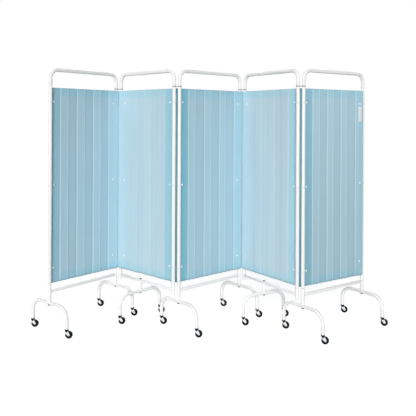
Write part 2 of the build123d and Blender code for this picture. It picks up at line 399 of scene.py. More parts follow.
def weld_bead(side):
    """The weld round the rail's end, laid in the corner between rail and stub."""
    shape = bmesh.new()
    ring_place = Matrix.Translation((rail_in_stub, 0, 0)) @ x_axis_up
    first = start_tube(shape, rail_r, ring_place, sides=4 * bead_ripples)
    rim = first
    for step in range(bead_rings):
        slant = step / (bead_rings - 1) * math.pi / 2
        rim = run_on(shape, rim, Vector((0, 0, 0)))
        for vert in vertices_of(rim):
            angle = math.atan2(vert.co.z, vert.co.y)
            ripple = bead_ripple * math.sin(bead_ripples * angle)
            radius = rail_r - bead_sink + (bead_rise + ripple) * math.cos(slant)
            vert.co.y = radius * math.cos(angle)
            vert.co.z = radius * math.sin(angle)
            on_stub = math.sqrt(max(tube_r ** 2 - vert.co.y ** 2, 0))
            vert.co.x = on_stub + bead_run * math.sin(slant)
    bmesh.ops.holes_fill(shape, edges=first, sides=0)
    bmesh.ops.holes_fill(shape, edges=rim, sides=0)
    if side == 1:
        half_turn = Matrix.Rotation(math.pi, 3, "Z")
        bmesh.ops.rotate(shape, verts=shape.verts, cent=(0, 0, 0), matrix=half_turn)
    bmesh.ops.translate(shape, verts=shape.verts, vec=(side * panel_width, 0, rail_z))
    return shape


plug_grey = hard_finish(
    "plug_grey", light=(0.62, 0.63, 0.64), dark=(0.55, 0.56, 0.57),
    rough=(0.45, 0.6), grain_scale=1500, stain_scale=60, bump=0.1,
)
plug_proud = 1.6 * mm
plug_top = 0.3 * mm
plug_profile = [
    (0, -plug_proud), (tube_r - 2.5 * mm, -plug_proud), (tube_r - 1.2 * mm, -plug_proud * 0.8),
    (tube_r - 0.6 * mm, -plug_proud * 0.4), (tube_r - 0.5 * mm, plug_top), (0, plug_top),
]


def frame_piece(number, name, shape, at=Matrix(), finish=white_powder_coat):
    """Makes a piece of a panel's frame, at its place in the panel."""
    return make_piece(name, shape, place_of[number] @ at, f"panel_{number}", finish)


for number in panels:
    rail = frame_piece(number, f"cross_rail_{number}", straight_tube(rail_r, rail_start, rail_run))
    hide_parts(f"lower_frame_{number}")
    for side, side_name in enumerate(side_names):
        end = f"{number}_{side_name}"
        at_upright = Matrix.Translation((side * panel_width, 0, 0))
        frame_piece(number, f"stub_{end}", stub_shape(number, side), at_upright)
        frame_piece(number, f"rail_weld_{end}", weld_bead(side))
        if len(foot_castors[number]) == 1:
            at_plug = at_upright @ Matrix.Translation((0, 0, short_stub_end_z))
            frame_piece(number, f"stub_plug_{end}", turned(plug_profile, tube_sides), at_plug, plug_grey)


# Foot spacers and bolts
# A hexagon bolt of dark steel holds each foot to its stub. On panels 2 and 4 it goes up through
# a coped spacer tube and the cross rail, and a nut holds it on top.
blackened_steel = hard_finish(
    "blackened_steel", light=(0.10, 0.10, 0.105), dark=(0.05, 0.05, 0.055),
    rough=(0.32, 0.5), grain_scale=1800, stain_scale=90, bump=0.15, metallic=0.8,
)
bolt_r = 4 * mm
hexagon_r = 7.5 * mm
hexagon_t = 4 * mm
hexagon_chamfer = 0.8 * mm
washer_sides = 32
bolt_sides = 24
washer_r = 10 * mm
washer_t = 1.5 * mm
washer_round = 0.3 * mm
seat_gap = 0.3 * mm
ridge_pitch = 0.5 * mm
ridge_depth = 0.3 * mm
ridge_count = 3


def washer_and_hexagon():
    """A washer and a chamfered hexagon on it, standing on the floor of their place."""
    shape = bmesh.new()
    for sides, radius, low_z, high_z, chamfer in (
        (washer_sides, washer_r, 0, washer_t, washer_round),
        (6, hexagon_r, washer_t, washer_t + hexagon_t, hexagon_chamfer),
    ):
        first = start_tube(shape, radius, Matrix.Translation((0, 0, low_z)), sides=sides)
        last = run_on(shape, first, up * (high_z - low_z))
        bmesh.ops.holes_fill(shape, edges=first, sides=0)
        close_end(shape, last, chamfer)
    return shape


def spacer_shape():
    """The tube between a middle foot and the cross rail above it, coped at both ends."""
    shape, first, last = open_tube(tube_r, Matrix.Translation((0, 0, foot_z)), up * (rail_z - foot_z))
    cope_end(shape, first, 0, foot_z, saddle_r, -1)
    cope_end(shape, last, 1, rail_z, rail_r + seat_gap, 1)
    return shape


def bolt_tip_shape():
    """The bolt's threaded end above its nut."""
    profile = [(0, 0)]
    for ridge in range(ridge_count):
        profile.append((bolt_r - ridge_depth, ridge * ridge_pitch))
        profile.append((bolt_r, (ridge + 0.5) * ridge_pitch))
    profile.append((bolt_r - 2 * ridge_depth, ridge_count * ridge_pitch))
    profile.append((0, ridge_count * ridge_pitch))
    return turned(profile, bolt_sides)


upside_down = Matrix.Rotation(math.pi, 4, "X")
quarter_back = Matrix.Rotation(-math.pi / 2, 4, "Z")
head_seat = Matrix.Translation((0, 0, foot_z - tube_r - seat_gap)) @ upside_down
nut_seat = Matrix.Translation((0, 0, rail_z + rail_r + seat_gap))
tip_seat = nut_seat @ Matrix.Translation((0, 0, washer_t + hexagon_t - ridge_pitch))
for number, castors in foot_castors.items():
    body = f"panel_{number}"
    for castor in castors:
        foot, place = castor // 2 + 1, foot_place(castor)
        make_piece(
            f"foot_bolt_{foot}", washer_and_hexagon(), place @ head_seat, body,
            blackened_steel,
        )
        if len(castors) == 1:
            make_piece(
                f"foot_spacer_{foot}", spacer_shape(), place @ quarter_back, body,
                white_powder_coat,
            )
            make_piece(
                f"foot_nut_{foot}", washer_and_hexagon(), place @ nut_seat, body,
                blackened_steel,
            )
            make_piece(
                f"foot_bolt_tip_{foot}", bolt_tip_shape(), place @ tip_seat, body,
                blackened_steel,
            )


# Castor forks
# Sixteen swivel castors. Each fork is folded from zinc-plated sheet, hangs under a black
# moulded hood in the leg's end, and carries the wheel on a riveted axle.
castor_count = 16
wheel_r = 25 * mm
wheel_half = 8.5 * mm
wheel_play = 0.8 * mm
trail = 15 * mm
sheet_t = 1.8 * mm
fork_outer = wheel_half + wheel_play + sheet_t
fork_top_z = 53 * mm
fork_top_front = 10 * mm
fork_top_back = 6.5 * mm
fork_knee_back = 5.5 * mm
fork_knee_z = 35 * mm
eye_r = 7.2 * mm
fold_r = 2.6 * mm
fold_steps = 5
eye_steps = 16

zinc_plate = hard_finish(
    "zinc_plate", light=(0.70, 0.725, 0.75), dark=(0.56, 0.585, 0.615),
    rough=(0.24, 0.42), grain_scale=700, stain_scale=55, bump=0.12, metallic=0.4,
)
black_moulding = hard_finish(
    "black_moulding", light=(0.006, 0.006, 0.007), dark=(0.003, 0.003, 0.004),
    rough=(0.4, 0.55), grain_scale=2200, stain_scale=70, bump=0.2, gloss=0.1,
)


def touching_angle(point, centre, radius, turn):
    """The direction from a circle's centre to where a line from the point touches it."""
    away = point - centre
    return math.atan2(away.y, away.x) + turn * math.acos(radius / away.length)


def fork_shape():
    """A folded fork: one cheek's outline, folded over at its top, mirrored and given its sheet."""
    shape = bmesh.new()
    eye = Vector((trail, wheel_r))
    fold_z = fork_top_z - fold_r
    knee = Vector((-fork_knee_back, fork_knee_z))
    front_top = Vector((fork_top_front, fold_z))
    rear_top = Vector((-fork_top_back, fold_z))
    start = touching_angle(knee, eye, eye_r, 1)
    sweep = (touching_angle(front_top, eye, eye_r, -1) - start) % math.tau
    low_end = shape.verts.new((
        eye.x + eye_r * math.cos(start), fork_outer, eye.y + eye_r * math.sin(start)
    ))
    high_end = bend_on(shape, [low_end], (eye.x, fork_outer, eye.y), (0, -1, 0), sweep, eye_steps)[0]
    corners = [shape.verts.new((point.x, fork_outer, point.y)) for point in (front_top, rear_top, knee)]
    chain = [high_end, *corners, low_end]
    for pair in zip(chain, chain[1:]):
        shape.edges.new(pair)
    top = corners[:2]
    bmesh.ops.contextual_create(shape, geom=list(shape.edges))
    fold_centre = (0, fork_outer - fold_r, fold_z)
    crown = bend_on(shape, top + edges_between(top), fold_centre, (1, 0, 0), math.pi / 2, fold_steps)
    run_on(shape, edges_between(crown), Vector((0, fold_r - fork_outer, 0)))
    bmesh.ops.mirror(
        shape, geom=shape.verts[:] + shape.edges[:] + shape.faces[:], axis="Y", merge_dist=weld_distance
    )
    bmesh.ops.remove_doubles(shape, verts=shape.verts, dist=weld_distance)
    bmesh.ops.recalc_face_normals(shape, faces=shape.faces)
    bmesh.ops.solidify(shape, geom=shape.faces[:], thickness=sheet_t)
    return shape


cap_sides = 36
cap_top_z = leg_end_z - 0.4 * mm
cap_profile = [
    (0, cap_top_z), (13.6 * mm, cap_top_z), (14.6 * mm, cap_top_z - 0.3 * mm),
    (15.0 * mm, cap_top_z - 1.0 * mm), (14.9 * mm, cap_top_z - 2.0 * mm),
    (14.2 * mm, cap_top_z - 3.2 * mm), (13.4 * mm, cap_top_z - 5.0 * mm),
    (13.0 * mm, cap_top_z - 6.8 * mm), (12.9 * mm, cap_top_z - 7.8 * mm),
    (12.9 * mm, fork_top_z), (0, fork_top_z),
]
skirt_low_z = 46 * mm
skirt_half = 9.5 * mm
skirt_inner = fork_outer + 0.3 * mm
skirt_t = 1.5 * mm
skirt_taper_share = 0.72
skirt_round = 2.2 * mm
skirt_round_segments = 4


def skirt_shape():
    """The hood's two side flaps, which cover the fork's shoulders outside the wheel."""
    shape = bmesh.new()
    for facing in (-1, 1):
        middle = Vector((0, facing * (skirt_inner + skirt_t / 2), (skirt_low_z + fork_top_z) / 2))
        size = Matrix.Diagonal((2 * skirt_half, skirt_t, fork_top_z - skirt_low_z + sheet_t, 1))
        made = bmesh.ops.create_cube(shape, size=1, matrix=Matrix.Translation(middle) @ size)
        lower = [vert for vert in made["verts"] if vert.co.z < middle.z]
        for vert in lower:
            vert.co.x *= skirt_taper_share
        corner_edges = [
            edge for edge in edges_between(made["verts"])
            if abs(edge.verts[0].co.y - edge.verts[1].co.y) > skirt_t / 2
        ]
        round_edges(shape, corner_edges, skirt_round, skirt_round_segments)
    return shape


def both_ways(half, closed=False):
    """A profile that is the same above and below, from its lower half; a closed one is a ring."""
    whole = half + [(radius, -height) for radius, height in reversed(half)]
    return whole + half[:1] if closed else whole


axle_sides = 20
rivet_half = fork_outer + 1.4 * mm
rivet_shoulder = fork_outer + 0.7 * mm
axle_profile = both_ways([
    (0, -rivet_half), (2.2 * mm, -rivet_half), (3.8 * mm, -rivet_shoulder),
    (4.2 * mm, -fork_outer), (3.0 * mm, -fork_outer),
])
axle_place = Matrix.Translation((trail, 0, wheel_r)) @ Matrix.Rotation(-math.pi / 2, 4, "X")
castor_places = {
    castor: Matrix.Translation(level(joint_at[f"castor_{castor}_swivel"]))
    for castor in range(1, castor_count + 1)
}
for castor, place in castor_places.items():
    body = f"castor_{castor}"
    fork = make_piece(f"fork_{castor}", fork_shape(), place, body, zinc_plate)
    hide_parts(f"castor_fork_{castor}")
    cap = turned(cap_profile, cap_sides)
    make_piece(f"cap_{castor}", cap, place, body, black_moulding)
    make_piece(f"hood_flaps_{castor}", skirt_shape(), place, body, black_moulding)
    axle = turned(axle_profile, axle_sides)
    make_piece(f"axle_{castor}", axle, place @ axle_place, body, zinc_plate)


# Castor wheels
# A black rubber tyre moulded round a black plastic centre, with a raised boss and a dished web.
black_rubber = hard_finish(
    "black_rubber", light=(0.007, 0.007, 0.008), dark=(0.004, 0.004, 0.005),
    rough=(0.5, 0.68), grain_scale=1300, stain_scale=80, bump=0.3, gloss=0.08,
)
tyre_sides = 56
tyre_profile = both_ways([
    (17.8 * mm, -7.6 * mm), (19.6 * mm, -wheel_half), (22.2 * mm, -8.3 * mm),
    (23.8 * mm, -7.2 * mm), (24.7 * mm, -5.9 * mm), (wheel_r, -3.6 * mm),
], closed=True)
centre_sides = 40
centre_profile = both_ways([
    (3.1 * mm, -wheel_half), (6.0 * mm, -wheel_half), (6.5 * mm, -8.0 * mm), (7.3 * mm, -4.6 * mm),
    (15.4 * mm, -4.6 * mm), (16.2 * mm, -7.3 * mm), (18.0 * mm, -7.6 * mm),
], closed=True)
for castor, place in castor_places.items():
    body = f"wheel_{castor}"
    at_axle = place @ axle_place
    tyre = make_piece(
        f"tyre_{castor}", turned(tyre_profile, tyre_sides), at_axle, body, black_rubber
    )
    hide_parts(f"castor_wheel_{castor}")
    centre = turned(centre_profile, centre_sides)
    make_piece(f"wheel_centre_{castor}", centre, at_axle, body, black_moulding)


# Hinge plates
# Two flat zinc-plated bars with round ears join neighbouring panels, one above and one below
# the uprights; pins in the tube ends pass through the ears, between nylon washers. The upper
# plates and their washers are dark, partly as painted shade that darkens the gap of the upper
# hinges; the lower ones are pale.
dull_zinc_and_shade = hard_finish(
    "dull_zinc_and_shade", light=(0.20, 0.205, 0.21), dark=(0.12, 0.123, 0.128),
    rough=(0.38, 0.6), grain_scale=900, stain_scale=70, bump=0.2, metallic=0.6, gloss=0.3,
)
dark_nylon_and_shade = hard_finish(
    "dark_nylon_and_shade", light=(0.05, 0.05, 0.052), dark=(0.03, 0.03, 0.032),
    rough=(0.45, 0.6), grain_scale=1800, stain_scale=90, bump=0.1, gloss=0.2,
)
pale_nylon = hard_finish(
    "pale_nylon", light=(0.70, 0.71, 0.72), dark=(0.62, 0.63, 0.64),
    rough=(0.45, 0.6), grain_scale=1800, stain_scale=90, bump=0.1,
)
# The dark finishes of the upper hinges are partly painted shade in the hinge gap.
hinge_finishes = {"upper": (dull_zinc_and_shade, dark_nylon_and_shade), "lower": (zinc_plate, pale_nylon)}
hinge_washer_r = 13.4 * mm
hinge_washer_bore = 4.3 * mm
hinge_washer_profile = [
    (hinge_washer_bore, 0), (hinge_washer_r, 0), (hinge_washer_r, hinge_washer_t),
    (hinge_washer_bore, hinge_washer_t), (hinge_washer_bore, 0),
]
ear_r = 14.5 * mm
waist_half = 10 * mm
plate_edge_round = 0.4 * mm
ear_steps = 28
upper_plate_z = sum(corner.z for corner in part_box("upper_link_1")) / 2


def plate_shape(pitch):
    """A flat bar with two round ears: each ear's rim is spun, and the waist joins them."""
    shape = bmesh.new()
    reach = math.sqrt(ear_r ** 2 - waist_half ** 2)
    ear_turn = math.tau - 2 * math.atan2(waist_half, reach)
    ends = []
    for facing in (1, -1):
        centre = (facing * pitch / 2, 0, 0)
        first = shape.verts.new((centre[0] - facing * reach, -facing * waist_half, 0))
        ends.append((first, bend_on(shape, [first], centre, (0, 0, 1), ear_turn, ear_steps)[0]))
    shape.edges.new((ends[0][1], ends[1][0]))
    shape.edges.new((ends[1][1], ends[0][0]))
    face = bmesh.ops.contextual_create(shape, geom=list(shape.edges))["faces"][0]
    made = bmesh.ops.extrude_face_region(shape, geom=[face], use_keep_orig=True)["geom"]
    bmesh.ops.translate(shape, verts=only_vertices(made), vec=(0, 0, plate_t))
    bmesh.ops.translate(shape, verts=shape.verts, vec=(0, 0, -plate_t / 2))
    rims = [edge for edge in shape.edges if abs(edge.verts[0].co.z - edge.verts[1].co.z) < plate_t / 2]
    round_edges(shape, rims, plate_edge_round)
    return shape


def hinge_washers(pitch):
    """The four washers of a plate, one above and one below each ear."""
    shape = bmesh.new()
    for centre_x in (-pitch / 2, pitch / 2):
        for low_z in (plate_t / 2, -plate_t / 2 - hinge_washer_t):
            add_turned(shape, hinge_washer_profile, tube_sides, (centre_x, 0, low_z))
    return shape


for link in panels[:-1]:
    first, second = upright_axes[link][1], upright_axes[link + 1][0]
    turn = laid_along((second - first).normalized())
    pitch = (second - first).length
    for rank, height in (("upper", upper_plate_z), ("lower", lower_plate_z)):
        place = Matrix.Translation((first + second) / 2 + up * height) @ turn
        plate_finish, washer_finish = hinge_finishes[rank]
        plate = make_piece(
            f"{rank}_plate_{link}", plate_shape(pitch), place, f"link_{link}", plate_finish
        )
        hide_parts(f"{rank}_link_{link}")
        make_piece(
            f"{rank}_hinge_washers_{link}", hinge_washers(pitch), place, f"link_{link}",
            washer_finish,
        )


# Uprights
# Ten straight white-coated tubes, two to a panel, each standing on the pin of the stub below.
upright_top_z = upper_plate_z - plate_t / 2 - plate_play
upright_start = Matrix.Translation((0, 0, upright_foot_z))
upright_run = up * (upright_top_z - upright_foot_z)

for number in panels:
    for side, side_name in enumerate(side_names):
        frame_piece(
            number, f"upright_{number}_{side_name}", straight_tube(tube_r, upright_start, upright_run),
            Matrix.Translation((side * panel_width, 0, 0)),
        )


# Top bows
# One cold-bent tube over each panel, white-coated, its two ends on the pins of the uprights.
bow_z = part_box("upper_frame_1")[1].z - tube_r
bow_bend_r = 60 * mm

for number in panels:
    leg_z = [
        upper_plate_z + plate_t / 2 + plate_play if is_hinged(number, side) else upright_top_z
        for side in (0, 1)
    ]
    bow = frame_piece(
        number, f"top_bow_{number}", arched_tube(panel_width, leg_z, bow_z, bow_bend_r),
        Matrix.Translation((panel_width / 2, 0, 0)),
    )
    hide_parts(f"upper_frame_{number}")


# Curtains
# A woven polyester curtain in each panel, pressed into box pleats, its side hems turned back.
# It lies behind the left upright and before the right one on panels 1, 3 and 5, and the other
# way round on 2 and 4, so that neighbouring curtains all but meet at the hinges.
cloth_t = 0.35 * mm
cloth_offset = 13.7 * mm
layer_pitch = 0.42 * mm
hinge_past = 12 * mm
free_past = (-2 * mm, -10 * mm)
past_end = 1 * mm
flat_reach = 16 * mm
side_hems = {
    1: (87 * mm, 60 * mm), 2: (60 * mm, 103 * mm), 3: (86 * mm, 58 * mm),
    4: (60 * mm, 102 * mm), 5: (91 * mm, 60 * mm),
}
level_hem_width = 45 * mm
pleat_edges = {
    1: (90, 163, 233, 307, 379, 451, 523), 2: (140, 215, 283, 364, 430, 506),
    3: (89, 159, 238, 309, 385, 451, 533), 4: (145, 220, 292, 363, 434, 507),
    5: (94, 166, 234, 299, 368, 435, 517),
}
pleat_lap = 20 * mm
pleat_depth = 1.6 * mm
fold_round = 0.7 * mm
# Levels of painted light for the pleats: a painted highlight beside the front edges and painted shade
# beside the back ones, and the width and soft edge of that band.
front_painted_light = (1.0, 0.0)
back_painted_light = (-0.65, -0.3)
painted_light_band = 9 * mm
painted_light_soft = 1.5 * mm
curtain_low_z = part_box("curtain_1")[0].z
curtain_high_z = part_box("curtain_1")[1].z
curtain_height = curtain_high_z - curtain_low_z
cloth_rows = 64
cloth_step = 9 * mm
turn_steps = 4


class PleatedRun:
    """A curtain's line in plan, from its left edge on, as points (x, y, painted light, hem, edge). The
    painted light is 1 where a painted highlight lies on a pressed fold and -1 for painted shade
    beside it; hem is 1 in a side hem; edge is 1 behind a near upright, past the unshaded ends, where
    the cloth gets painted shade."""

    def __init__(self, number):
        facing = 1 if number % 2 == 1 else -1
        self.start = facing * cloth_offset
        self.left = -(hinge_past if is_hinged(number, 0) else free_past[0])
        self.right = panel_width + (hinge_past if is_hinged(number, 1) else free_past[1])
        self.hem_ends = (side_hems[number][0], panel_width - side_hems[number][1])
        behind_left = facing == 1 and is_hinged(number, 0)
        behind_right = facing == -1 and is_hinged(number, 1)
        # Outside these ends, behind a near upright, the cloth's colour carries painted shade.
        self.unshaded_ends = (
            0 if behind_left else self.left - past_end,
            panel_width if behind_right else self.right + past_end,
        )
        self.points = [(self.left, self.start, 0, 1, int(behind_left))]
        self.go(flat_reach, self.start)
        flat_end = panel_width - flat_reach
        before = []
        for rank, edge in enumerate(pleat_edges[number]):
            edge *= mm
            if rank % 2 == 0:
                self.turn_back(edge + pleat_lap, edge, pleat_depth, -1, [*before, edge], back_painted_light)
            else:
                self.turn_back(edge, edge - pleat_lap, -pleat_depth, 1, [*before, edge], front_painted_light)
            before = [edge]
        painted_light = front_painted_light if len(pleat_edges[number]) % 2 == 1 else back_painted_light
        self.go(flat_end, -self.start, before, painted_light)
        self.go(self.right, -self.start)

    def middle(self, x):
        """The cloth's mean line, from behind one upright to before the other."""
        share = (x - flat_reach) / (panel_width - 2 * flat_reach)
        return self.start * (1 - 2 * min(max(share, 0), 1))

    def add(self, x, y, painted_light):
        hem = int(not self.hem_ends[0] < x < self.hem_ends[1])
        self.points.append((x, y, painted_light, hem, int(not self.unshaded_ends[0] <= x <= self.unshaded_ends[1])))

    def go(self, x, y, edges=(), painted_light=(0, 0)):
        """Runs on straight to a point. The cloth has the first level of painted light in a band beside
        each of the edges and the second elsewhere."""
        from_x, from_y = self.points[-1][:2]
        steps = math.ceil(abs(x - from_x) / cloth_step)
        stops = {from_x + (x - from_x) * step / steps for step in range(1, steps)}
        for edge in edges:
            for away in (painted_light_band, painted_light_band + painted_light_soft):
                stops.update((edge - away, edge + away))
        for end in (*self.hem_ends, *self.unshaded_ends):
            stops.update((end - painted_light_soft / 4, end + painted_light_soft / 4))
        nearly = painted_light_soft / 8
        between = [stop for stop in stops if min(x, from_x) + nearly < stop < max(x, from_x) - nearly]
        for at_x in [*sorted(between, reverse=x < from_x), x]:
            apart = min((abs(at_x - edge) for edge in edges), default=0)
            away = min(max((apart - painted_light_band) / painted_light_soft, 0), 1)
            share = (at_x - from_x) / (x - from_x)
            self.add(at_x, from_y + (y - from_y) * share, painted_light[0] + (painted_light[1] - painted_light[0]) * away)

    def turn_back(self, far_x, near_x, depth, facing, edges, painted_light):
        """Runs on to far_x at one depth, folds back there, and folds on again at near_x. Facing
        is -1 where the cloth comes to the front by it and 1 where it goes to the back."""
        y_far = self.middle(far_x) + depth
        y_near = self.middle(near_x) - depth
        self.go(far_x - fold_round, y_far, edges, painted_light)
        self.curl(far_x - fold_round, y_far + facing * fold_round, 1, facing)
        self.go(near_x + fold_round, y_near - facing * 2 * fold_round)
        self.curl(near_x + fold_round, y_near - facing * fold_round, -1, facing)

    def curl(self, centre_x, centre_y, outward, facing):
        """Half a turn round a fold, on the side where outward points. The turn of a front fold carries a
        painted highlight.
        """
        for step in range(1, turn_steps + 1):
            angle = -math.pi / 2 + math.pi * step / turn_steps
            x = centre_x + outward * fold_round * math.cos(angle)
            self.add(x, centre_y + facing * fold_round * math.sin(angle), int(outward == facing))

    def front_y(self, x):
        """Where the cloth's middle lies in its foremost layer at x."""
        layers = []
        for (x_a, y_a, *_), (x_b, y_b, *_) in zip(self.points, self.points[1:]):
            if min(x_a, x_b) <= x <= max(x_a, x_b) and abs(x_b - x_a) > weld_distance:
                layers.append(y_a + (y_b - y_a) * (x - x_a) / (x_b - x_a))
        return min(layers)

    def with_side_hems(self):
        """The whole cut width: both side edges turn back behind the cloth and follow it."""
        hems = []
        for line in (self.points, self.points[::-1]):
            hem = [(line[0][0], line[0][1] + layer_pitch / 2, 0, 1, 0)]
            for x, y, _, in_hem, _ in line:
                if not in_hem:
                    break
                hem.append((x, y + layer_pitch, 0, 1, 0))
            hems.append(hem)
        return hems[0][::-1] + self.points + hems[1]

    def behind(self):
        """The line of a strip sewn along the curtain's back, which folds with the curtain."""
        moved = []
        for index, (x, y, painted_light, hem, _) in enumerate(self.points):
            before = self.points[max(index - 1, 0)]
            after = self.points[min(index + 1, len(self.points) - 1)]
            run = Vector((after[0] - before[0], after[1] - before[1])).normalized()
            lift = layer_pitch * (2 if hem else 1)
            moved.append((x - run.y * lift, y + run.x * lift, painted_light, 1, 0))
        return moved


runs = {number: PleatedRun(number) for number in panels}
drift_free = 62 * mm
fold_wander = 1.2 * mm
fold_noise_scale = (14, 7.3, 2.1)
belly_depth = 4 * mm
belly_noise_scale = (5, 3.1, 2.6)
belly_noise_start = 40


def drift_noise(number, x, share, scale, start=0):
    """Smooth noise across and down a curtain, different on each."""
    return noise.noise(Vector((x * scale[0], number * scale[1] + start, share * scale[2])))


def cloth_drift(number, x, share):
    """How far the hung cloth lies off its plan line: its folds wander, and it bellies a little."""
    inward = min(x, panel_width - x) / drift_free - 1
    loose = min(max(inward, 0), 1) * math.sin(math.pi * min(max(share, 0), 1))
    wander = drift_noise(number, x, share, fold_noise_scale)
    belly = drift_noise(number, x, share, belly_noise_scale, belly_noise_start)
    return Vector((wander * fold_wander, belly * belly_depth, 0)) * loose


thread_scale = 420
thread_waver = 0.6
slub_scale = 60
slub_stretch = (1.0, 0.08, 1.0)
painted_light_swing = 0.21
weave_strength = 0.2
weave_depth = 0.15 * mm


def woven_cloth(name, base, shade, hem_and_shade_tint, painted_sheen_tint, gap_shade_tint):
    """Plain-woven polyester: threads over and under, and slubs. Its colour also carries painted light:
    a painted sheen, the hems' deeper colour with painted shade beside the uprights, painted shade
    behind the near uprights, and painted highlights and shade at the pressed folds and across each panel.
    """
    material, nodes, links, shader = new_material(name)
    shader.inputs["Roughness"].default_value = 0.78
    shader.inputs["Specular IOR Level"].default_value = 0.25
    shader.inputs["Sheen Weight"].default_value = 0.12
    cut = nodes.new("ShaderNodeUVMap")
    cut.uv_map = "cut"
    weave = nodes.new("ShaderNodeMath")
    weave.operation = "MAXIMUM"
    for socket, direction in enumerate(("X", "Y")):
        threads = nodes.new("ShaderNodeTexWave")
        threads.bands_direction = direction
        threads.inputs["Scale"].default_value = thread_scale
        threads.inputs["Distortion"].default_value = thread_waver
        threads.inputs["Detail"].default_value = 1
        links.new(cut.outputs["UV"], threads.inputs["Vector"])
        links.new(threads.outputs["Fac"], weave.inputs[socket])
    slub = nodes.new("ShaderNodeTexNoise")
    slub.inputs["Scale"].default_value = slub_scale
    slub.inputs["Detail"].default_value = 5
    stretch = nodes.new("ShaderNodeMapping")
    stretch.inputs["Scale"].default_value = slub_stretch
    links.new(cut.outputs["UV"], stretch.inputs["Vector"])
    links.new(stretch.outputs["Vector"], slub.inputs["Vector"])
    colour = two_colours(nodes, base, shade)
    links.new(slub.outputs["Fac"], colour.inputs["Factor"])
    # Painted sheen, the hem tint with its painted shade, and painted shade behind the near uprights.
    for mark, tint, blend in (
        ("painted_sheen", painted_sheen_tint, "MIX"), ("hem", hem_and_shade_tint, "MULTIPLY"), ("edge", gap_shade_tint, "MIX")
    ):
        where = nodes.new("ShaderNodeAttribute")
        where.attribute_name = mark
        tinted = nodes.new("ShaderNodeMix")
        tinted.data_type = "RGBA"
        tinted.blend_type = blend
        tinted.inputs["B"].default_value = (*tint, 1)
        links.new(where.outputs["Fac"], tinted.inputs["Factor"])
        links.new(colour.outputs["Result"], tinted.inputs["A"])
        colour = tinted
    # The painted light makes the colour lighter for a painted highlight and darker for painted shade.
    painted_light = nodes.new("ShaderNodeAttribute")
    painted_light.attribute_name = "painted_light"
    level_of_painted_light = nodes.new("ShaderNodeMapRange")
    level_of_painted_light.inputs["From Min"].default_value = -1.0
    level_of_painted_light.inputs["To Min"].default_value = 1 - painted_light_swing
    level_of_painted_light.inputs["To Max"].default_value = 1 + painted_light_swing
    level_of_painted_light.clamp = False
    pressed = nodes.new("ShaderNodeVectorMath")
    pressed.operation = "SCALE"
    links.new(painted_light.outputs["Fac"], level_of_painted_light.inputs["Value"])
    links.new(colour.outputs["Result"], pressed.inputs[0])
    links.new(level_of_painted_light.outputs["Result"], pressed.inputs["Scale"])
    links.new(pressed.outputs["Vector"], shader.inputs["Base Color"])
    raise_grain(weave.outputs["Value"], nodes, links, shader, weave_strength, weave_depth)
    return material


# The edge tint is painted shade: a deep teal for the cloth in the shaded gap of a near hinge.
curtain_cloth = woven_cloth(
    "curtain_cloth", base=(0.423, 0.609, 0.698), shade=(0.387, 0.577, 0.67),
    hem_and_shade_tint=(0.42, 0.92, 1.02), painted_sheen_tint=(0.85, 0.917, 0.93), gap_shade_tint=(0.04, 0.25, 0.34),
)
# How strong the painted highlights and shade of the folds are on each panel.
painted_light_strengths = {1: 1.0, 2: 0.25, 3: 0.8, 4: 0.25, 5: 0.9}
# Side hem tints for the left and right of each panel: the doubled cloth's deeper colour, with painted shade
# where an upright shades the cloth beside it.
side_hem_and_shade_strengths = {1: (0.36, 0.1), 2: (0.0, 0.72), 3: (0.95, 0.15), 4: (0.0, 0.5), 5: (0.66, 0.3)}
level_hem_strength = 0.25
# Painted light thrown on the cloth, as levels of its colour: beside each side of a panel, across panels 2
# and 4, and on panel 5 lighter to the top and darker to the bottom.
side_lifts = {1: (-0.2, 0.6), 2: (0.05, 0), 3: (-0.6, 0.1), 4: (0.7, 0.75), 5: (-0.7, 0)}
side_reach = 130 * mm
cross_lifts = {2: 0.42, 4: 0.05}
painted_light_slopes = {5: 0.38}
# Painted sheen: the colour of panels 2 and 4 is mixed towards white by these shares.
painted_sheens = {2: 0.18, 4: 0.23}
# The hem's tint, with its painted shade, weakens away from the upright by this share.
side_shade_fade = 0.4


def side_hem_and_shade_depth(number, x):
    """How deep the tint of a side hem is at x: the doubled cloth's deeper colour and painted shade
    of the upright, strongest beside the upright.
    """
    side = int(x > panel_width / 2)
    inward = abs(x - side * panel_width) / side_hems[number][side]
    return side_hem_and_shade_strengths[number][side] * (1 - side_shade_fade * min(inward, 1))


def light_thrown(number, x, share):
    """The uneven light on a curtain: more beside a rear hinge, from the cloth of the next panel,
    less in the shade of a front upright, and a slow change across and down the panel."""
    beside = sum(
        lift * max(1 - abs(x - side * panel_width) / side_reach, 0)
        for side, lift in enumerate(side_lifts[number])
    )
    across = cross_lifts.get(number, 0) * (1 - 2 * x / panel_width)
    return beside + across + painted_light_slopes.get(number, 0) * (2 * share - 1)


